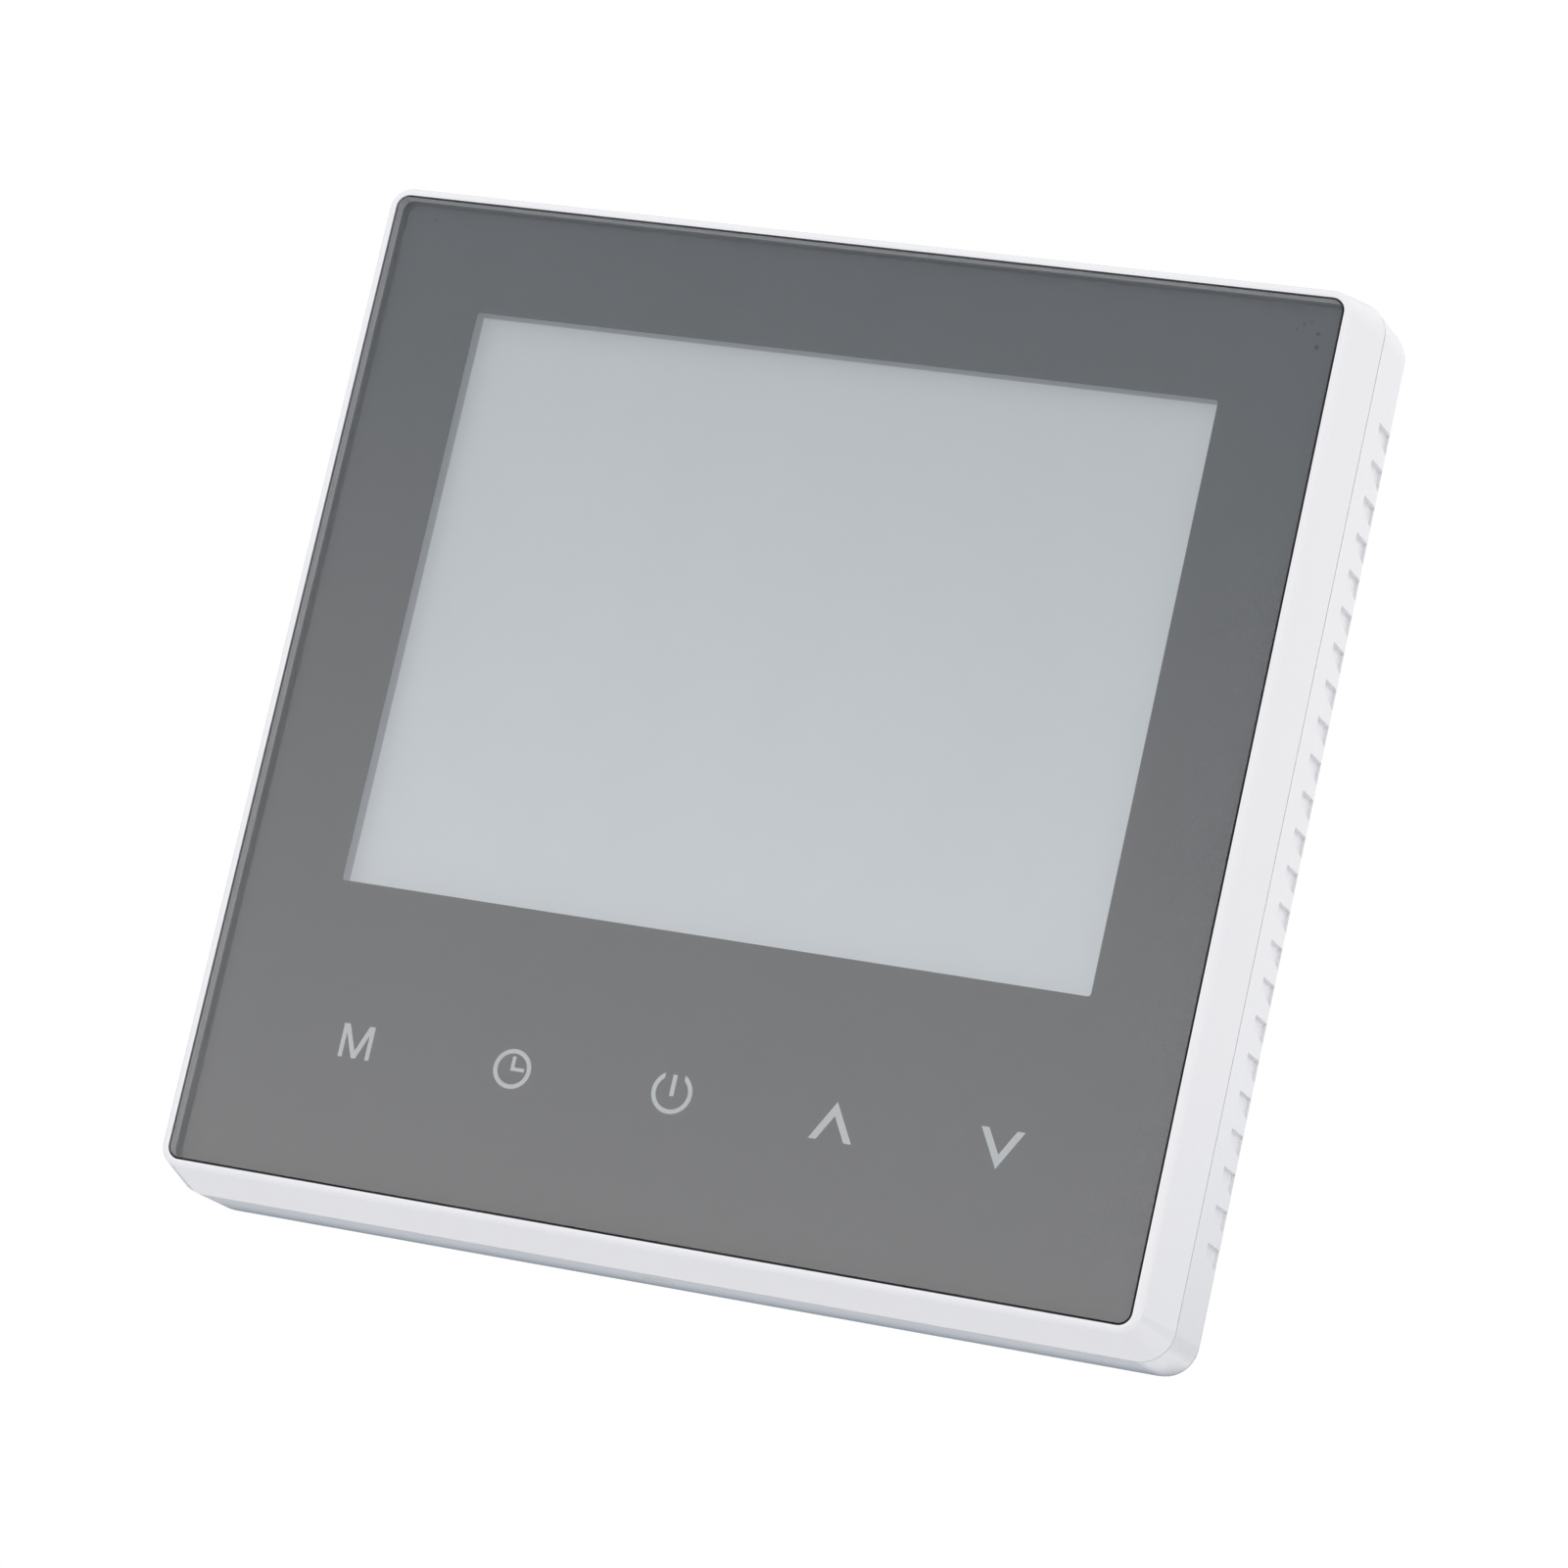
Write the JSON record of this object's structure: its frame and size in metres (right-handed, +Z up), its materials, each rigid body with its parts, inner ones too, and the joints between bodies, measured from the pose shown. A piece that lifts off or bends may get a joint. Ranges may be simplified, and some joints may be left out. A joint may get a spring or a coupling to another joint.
{
  "type": "wall thermostat",
  "caption": "Square touch-screen room thermostat: glossy dark panel with display window and touch legends in a white two-part case, vented sides, rear box with terminals for a wall box.",
  "frame": {"origin": "middle of the case's wall face, on the line between the two wall screws", "axes": "+Z up, +X to the right of a person facing the thermostat, +Y into the wall"},
  "size_m": [0.086, 0.0394, 0.086],
  "materials": {
    "white_shell": "gloss moulded ABS",
    "white_frame": "gloss moulded ABS",
    "clear_panel": "polished clear acrylic",
    "dark_print": "dark grey ink seen through the panel",
    "pale_ink": "translucent pale ink",
    "adhesive": "foam tape",
    "polariser": "satin film",
    "display_glass": "thin glass",
    "white_film": "matte white",
    "clear_guide": "clear acrylic",
    "white_inner": "fine matte moulding",
    "lamp_body": "yellow phosphor",
    "circuit_board": "green solder mask",
    "black_resin": "matte epoxy",
    "black_moulding": "fine texture",
    "spring_steel": "bright wire",
    "steel": "plated steel",
    "brass_parts": "tinned brass",
    "copper_wire": "enamelled copper",
    "ferrite": "sintered ferrite",
    "relay_blue": "blue moulding",
    "terminal_green": "green moulding",
    "sleeve_black": "shrink sleeve",
    "film_yellow": "yellow case",
    "blue_lacquer": "dipped lacquer",
    "fuse_ceramic": "unglazed ceramic",
    "insulator": "insulating sheet"
  },
  "bodies": {
    "rear_unit": {"base_housing": "white_shell", "board_screws": "steel", "bulk_capacitors": "sleeve_black", "converter_chip": "black_resin", "film_capacitor": "film_yellow", "fuse": "fuse_ceramic", "header_socket": "black_moulding", "output_capacitor": "sleeve_black", "power_board": "circuit_board", "power_cover": "insulator", "relay_base": "relay_blue", "relay_bobbin": "white_inner", "relay_case": "relay_blue", "relay_coil": "copper_wire", "relay_contact": "brass_parts", "relay_yoke": "steel", "surge_absorber": "blue_lacquer", "terminal_block": "terminal_green", "terminal_contacts": "brass_parts", "transformer_core": "ferrite", "transformer_foot": "black_moulding", "transformer_winding": "film_yellow"},
    "front_unit": {"front_frame": "white_frame", "touch_panel": "clear_panel", "printed_mask": "dark_print", "key_legends": "pale_ink", "panel_adhesive": "adhesive", "lcd_front_polariser": "polariser", "lcd_rear_polariser": "polariser", "lcd_front_glass": "display_glass", "lcd_rear_glass": "display_glass", "diffuser_sheet": "white_film", "light_guide": "clear_guide", "backlight_tray": "white_inner", "backlight_leds": "lamp_body", "lcd_ribbon": "copper_wire", "display_board": "circuit_board", "key_leds": "lamp_body", "touch_springs": "spring_steel", "microcontroller": "black_resin", "buzzer": "black_moulding", "cell_holder": "black_moulding", "backup_cell": "steel", "air_sensor": "black_resin", "pin_header": "brass_parts", "rear_plate": "white_inner", "rear_plate_screws": "steel"},
    "armature": {"relay_armature": "steel"},
    "screw_1": {"terminal_screw_1": "steel"},
    "clamp_1": {"terminal_clamp_1": "brass_parts"},
    "screw_2": {"terminal_screw_2": "steel"},
    "clamp_2": {"terminal_clamp_2": "brass_parts"},
    "screw_3": {"terminal_screw_3": "steel"},
    "clamp_3": {"terminal_clamp_3": "brass_parts"},
    "screw_4": {"terminal_screw_4": "steel"},
    "clamp_4": {"terminal_clamp_4": "brass_parts"},
    "screw_5": {"terminal_screw_5": "steel"},
    "clamp_5": {"terminal_clamp_5": "brass_parts"},
    "screw_6": {"terminal_screw_6": "steel"},
    "clamp_6": {"terminal_clamp_6": "brass_parts"}
  },
  "joints": [
    {"name": "front_unclip", "type": "slide", "parent": "rear_unit", "child": "front_unit", "axis": [0, -1, 0], "range_m": [0, 0.03]},
    {"name": "armature_tilt", "type": "hinge", "parent": "rear_unit", "child": "armature", "pos_m": [-0.01325, 0.01596, 0.0065], "axis": [-1, 0, 0], "range_deg": [0, 3.5], "stiffness_Nm_per_rad": 0.01, "springref_deg": -5},
    {"name": "screw_turn_1", "type": "hinge", "parent": "rear_unit", "child": "screw_1", "pos_m": [-0.01875, 0.0156, -0.0201], "axis": [0, -1, 0], "range_deg": [0, 1440]},
    {"name": "clamp_rise_1", "type": "slide", "parent": "rear_unit", "child": "clamp_1", "axis": [0, 1, 0], "range_m": [0, 0.002]},
    {"name": "screw_turn_2", "type": "hinge", "parent": "rear_unit", "child": "screw_2", "pos_m": [-0.01125, 0.0156, -0.0201], "axis": [0, -1, 0], "range_deg": [0, 1440]},
    {"name": "clamp_rise_2", "type": "slide", "parent": "rear_unit", "child": "clamp_2", "axis": [0, 1, 0], "range_m": [0, 0.002]},
    {"name": "screw_turn_3", "type": "hinge", "parent": "rear_unit", "child": "screw_3", "pos_m": [-0.00375, 0.0156, -0.0201], "axis": [0, -1, 0], "range_deg": [0, 1440]},
    {"name": "clamp_rise_3", "type": "slide", "parent": "rear_unit", "child": "clamp_3", "axis": [0, 1, 0], "range_m": [0, 0.002]},
    {"name": "screw_turn_4", "type": "hinge", "parent": "rear_unit", "child": "screw_4", "pos_m": [0.00375, 0.0156, -0.0201], "axis": [0, -1, 0], "range_deg": [0, 1440]},
    {"name": "clamp_rise_4", "type": "slide", "parent": "rear_unit", "child": "clamp_4", "axis": [0, 1, 0], "range_m": [0, 0.002]},
    {"name": "screw_turn_5", "type": "hinge", "parent": "rear_unit", "child": "screw_5", "pos_m": [0.01125, 0.0156, -0.0201], "axis": [0, -1, 0], "range_deg": [0, 1440]},
    {"name": "clamp_rise_5", "type": "slide", "parent": "rear_unit", "child": "clamp_5", "axis": [0, 1, 0], "range_m": [0, 0.002]},
    {"name": "screw_turn_6", "type": "hinge", "parent": "rear_unit", "child": "screw_6", "pos_m": [0.01875, 0.0156, -0.0201], "axis": [0, -1, 0], "range_deg": [0, 1440]},
    {"name": "clamp_rise_6", "type": "slide", "parent": "rear_unit", "child": "clamp_6", "axis": [0, 1, 0], "range_m": [0, 0.002]}
  ],
  "couplings": [
    {"joint": "screw_turn_1", "follows": "clamp_rise_1", "rad_per_m": 12566},
    {"joint": "screw_turn_2", "follows": "clamp_rise_2", "rad_per_m": 12566},
    {"joint": "screw_turn_3", "follows": "clamp_rise_3", "rad_per_m": 12566},
    {"joint": "screw_turn_4", "follows": "clamp_rise_4", "rad_per_m": 12566},
    {"joint": "screw_turn_5", "follows": "clamp_rise_5", "rad_per_m": 12566},
    {"joint": "screw_turn_6", "follows": "clamp_rise_6", "rad_per_m": 12566}
  ]
}
